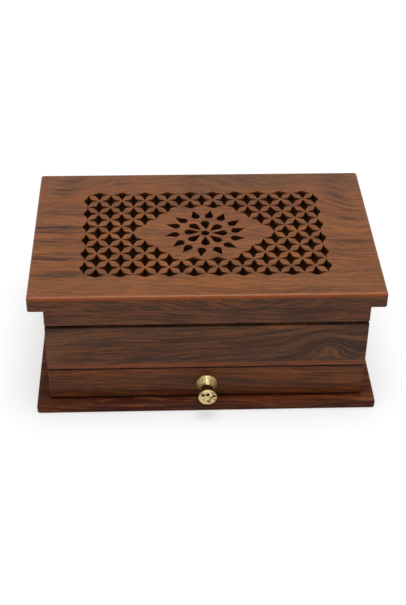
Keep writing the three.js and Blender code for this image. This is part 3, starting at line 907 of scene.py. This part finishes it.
def leaf(knuckles):
    """A hinge leaf under the pin: a plate with a tab to each knuckle, two countersunk holes,
    and a barrel round the pin at each tab."""
    length = (2 * HINGE_HALF - (KNUCKLES - 1) * KNUCKLE_GAP) / KNUCKLES
    spans = [-HINGE_HALF + k * (length + KNUCKLE_GAP) for k in knuckles]
    outline = [(-HINGE_HALF, LEAF_FAR), (HINGE_HALF, LEAF_FAR)]
    for start in spans[::-1]:
        end = start + length
        if end < HINGE_HALF - MM:
            outline += [(HINGE_HALF, LEAF_NEAR)] if len(outline) == 2 else []
            outline.append((end, LEAF_NEAR))
        outline += [(end, TAB_END), (start, TAB_END)]
        if start > -HINGE_HALF + MM:
            outline.append((start, LEAF_NEAR))
    if spans[0] > -HINGE_HALF + MM:
        outline.append((-HINGE_HALF, LEAF_NEAR))
    loop = loop_of(*outline)
    rows = [
        at_height(grown(loop, -inset), height)
        for inset, height in eased_edge(LEAF_LOW, LEAF_HIGH, 0.0, HINGE_EASE, 2)
    ]
    hole = ((LEAF_SCREW_SHANK + SCREW_FIT, LEAF_LOW), (LEAF_SCREW_HEAD + SCREW_FIT, LEAF_HIGH))
    holes = [
        [at_height(circle(radius, 32, (x, LEAF_SCREW_Y)), z) for radius, z in hole]
        for x in (-LEAF_SCREW_X, LEAF_SCREW_X)
    ]
    shells = pierced(rows, holes)
    for start in spans:
        stations = eased_edge(start, start + length, HINGE_EASE, HINGE_EASE, 2)
        outer = [at_height(circle(KNUCKLE_RADIUS - inset, 40), x) for inset, x in stations]
        bore = [at_height(circle(BORE_RADIUS, 40), x) for _, x in (stations[0], stations[-1])]
        shells += moved(pierced(outer, [bore]), ALONG_X)
    return shells


def dress_hinges():
    """Each hinge: a leaf with two slotted screws on each side, and a pin with rounded heads."""
    head, shank = LEAF_SCREW_HEAD, LEAF_SCREW_SHANK
    levels = [(head, -0.05), (shank, -0.8), (shank, -4.9), (0.0, -6.5)]
    half_pin = [
        (PIN_RADIUS, PIN_SHOULDER),
        (PIN_HEAD_RADIUS, PIN_SHOULDER),
        (PIN_HEAD_RADIUS - 0.15, PIN_END - 0.2),
        (PIN_RADIUS - 0.05, PIN_END),
        (0.0, PIN_END),
    ]
    pin = loop_of(*[(radius, -x) for radius, x in half_pin[::-1]], *half_pin)
    for name, x in (("left", -HINGE_X), ("right", HINGE_X)):
        for body, knuckles, turn in (
            ("case", (0, 2, 4), Matrix()),
            ("lid", (1, 3), Matrix.Rotation(math.pi, 4, "Y")),
        ):
            place = at_place(x, PIN_Y, PIN_Z, turn)
            stem = f"hinge_{name}_{body}"
            shells = moved(leaf(knuckles), place)
            piece(f"{stem}_wing", shells, body, [f"{stem}_leaf"], HINGE_BRASS)
            for number, screw_x in ((1, -LEAF_SCREW_X), (2, LEAF_SCREW_X)):
                screw = slotted_screw(head, 0.0, levels, 0.45, -0.36)
                shells = moved(screw, place @ at_place(screw_x, LEAF_SCREW_Y, LEAF_HIGH))
                piece(
                    f"{stem}_woodscrew_{number}",
                    shells,
                    body,
                    [f"{stem}_screw_{number}"],
                    HINGE_BRASS,
                )
        shells = moved(turned(pin, 40), at_place(x, PIN_Y, PIN_Z, ALONG_X))
        rod, source = f"hinge_{name}_rod", f"hinge_{name}_pin"
        piece(rod, shells, "case", [source], HINGE_BRASS)


def dress_screws():
    """Countersunk screws under the base, and a domed one inside the drawer for the knob."""
    head, shank = BASE_SCREW_HEAD, BASE_SCREW_SHANK
    levels = [(head, -0.05), (shank, -1.7), (shank, -12.75), (0.0, -17.0)]
    places = [(x, y) for y in (-BASE_SCREW_Y, BASE_SCREW_Y) for x in (-BASE_SCREW_X, BASE_SCREW_X)]
    for number, (x, y) in enumerate(places, start=1):
        screw = slotted_screw(head, 0.0, levels, 0.8, -0.765)
        shells = moved(screw, at_place(x, y, BASE_SCREW_FACE, DOWNWARDS))
        name, source = f"plinth_screw_{number}", f"base_screw_{number}"
        piece(name, shells, "case", [source], SCREW_STEEL)
    low, high = node_box("knob_screw")
    middle = (low + high) / 2
    head, shank, crown = KNOB_SCREW_HEAD, KNOB_SCREW_SHANK, KNOB_SCREW_CROWN
    end = low[1] - high[1] + crown
    levels = [(head, -1.32), (shank, -1.32), (shank, end), (0.0, end)]
    screw = slotted_screw(head, crown, levels, 0.9, crown - 0.99)
    shells = moved(screw, at_place(middle[0], high[1] - crown, middle[2], TOWARDS_BACK))
    piece("knob_fixing", shells, "drawer", ["knob_screw"], SCREW_STEEL)


def dress_plain_nodes():
    """CAD nodes that show as they are take the bare wood."""
    for name in ("compartment_floor", "drawer_bottom"):
        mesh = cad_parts[name].data
        mesh.materials.clear()
        mesh.materials.append(BARE_WOOD)


def seen_directly(tree):
    """1 for camera rays and for rays that a piece mirrors or lets through, and 0 for others."""
    path = node(tree, "ShaderNodeLightPath", out=None).outputs
    seen = maths(tree, "ADD", path["Is Camera Ray"], path["Is Glossy Ray"], clamp=True)
    return maths(tree, "ADD", seen, path["Is Transmission Ray"], clamp=True)


def lay_floor():
    """A pale matt floor that keeps the shadow: it reflects light, and glows a little for the
    camera and for reflections so that it reads as white. Away from the box, where the lamps
    fall off, it glows more."""
    half = 6.0
    grey = 0.48
    near_glow, far_glow = 0.58, 1.0
    glow_from, glow_full = 0.25, 1.0
    below_box = -0.0001
    material = bpy.data.materials.new("matt_white_floor")
    material.use_nodes = True
    tree = material.node_tree
    tree.nodes.clear()
    place = node(tree, "ShaderNodeTexCoord", out="Object")
    away = vector_maths(tree, "LENGTH", place, out="Value")
    away = between(tree, away, glow_from, glow_full)
    strength = maths(tree, "MULTIPLY", away, far_glow - near_glow)
    strength = maths(tree, "ADD", strength, near_glow)
    strength = maths(tree, "MULTIPLY", strength, seen_directly(tree))
    diffuse = node(tree, "ShaderNodeBsdfDiffuse", {"Color": (grey, grey, grey, 1.0)})
    glow = node(tree, "ShaderNodeEmission", {"Strength": strength})
    both = node(tree, "ShaderNodeAddShader", {0: diffuse, 1: glow})
    node(tree, "ShaderNodeOutputMaterial", {"Surface": both}, None)
    mesh = bpy.data.meshes.new("floor")
    corners = [(-half, -half, 0), (half, -half, 0), (half, half, 0), (-half, half, 0)]
    mesh.from_pydata(corners, [], [(0, 1, 2, 3)])
    mesh.materials.append(material)
    floor = bpy.data.objects.new("floor", mesh)
    floor.location.z = below_box
    bpy.context.scene.collection.objects.link(floor)


def light_studio():
    """A white surround that lights the box evenly but less than it shows, and two soft lamps,
    a strong one straight above and a weak one high in front."""
    seen_strength, lit_strength = 1.0, 0.3
    world = bpy.data.worlds.new("studio")
    bpy.context.scene.world = world
    world.use_nodes = True
    tree = world.node_tree
    tree.nodes.clear()
    strength = maths(tree, "MULTIPLY", seen_directly(tree), seen_strength - lit_strength)
    strength = maths(tree, "ADD", strength, lit_strength)
    sky = node(tree, "ShaderNodeBackground", {"Strength": strength})
    node(tree, "ShaderNodeOutputWorld", {"Surface": sky}, None)
    # Each lamp's name, place, size and power, in metres and watts
    lamps = (
        ("top_softbox", (0.1, 0.1, 2.6), 1.6, 52.0),
        ("front_softbox", (-1.2, -2.4, 1.6), 1.4, 6.0),
    )
    box_middle = Vector((0.0, 0.0, 0.04))
    for name, place, size, power in lamps:
        lamp = bpy.data.lights.new(name, "AREA")
        lamp.size = size
        lamp.energy = power
        lit = bpy.data.objects.new(name, lamp)
        lit.location = place
        aim = box_middle - Vector(place)
        lit.rotation_euler = aim.to_track_quat("-Z", "Y").to_euler()
        bpy.context.scene.collection.objects.link(lit)


def set_camera():
    """The photograph's camera, turned by yaw, then down by pitch, then by roll."""
    yaw, pitch, roll = (math.radians(a) for a in (CAMERA_YAW, CAMERA_PITCH, CAMERA_ROLL))
    right = Vector((math.cos(yaw), math.sin(yaw), 0.0))
    level = Vector((-math.sin(yaw), math.cos(yaw), 0.0))
    ahead = level * math.cos(pitch) - Vector((0.0, 0.0, math.sin(pitch)))
    up = level * math.sin(pitch) + Vector((0.0, 0.0, math.cos(pitch)))
    x = right * math.cos(roll) + up * math.sin(roll)
    y = up * math.cos(roll) - right * math.sin(roll)
    data = bpy.data.cameras.new("photo_camera")
    data.sensor_width = SENSOR
    data.lens = FOCAL_LENGTH * SENSOR / PHOTO_HEIGHT
    data.clip_start = 0.01
    data.clip_end = 50.0
    camera = bpy.data.objects.new("photo_camera", data)
    turn = Matrix((x, y, -ahead)).transposed().to_4x4()
    camera.matrix_world = Matrix.Translation(Vector(CAMERA_PLACE) * MM) @ turn
    bpy.context.scene.collection.objects.link(camera)
    bpy.context.scene.camera = camera


set_camera()
dress_lid()
dress_case()
dress_drawer()
dress_knob()
dress_hinges()
dress_screws()
dress_plain_nodes()
lay_floor()
light_studio()
bpy.context.scene.view_settings.view_transform = "Standard"
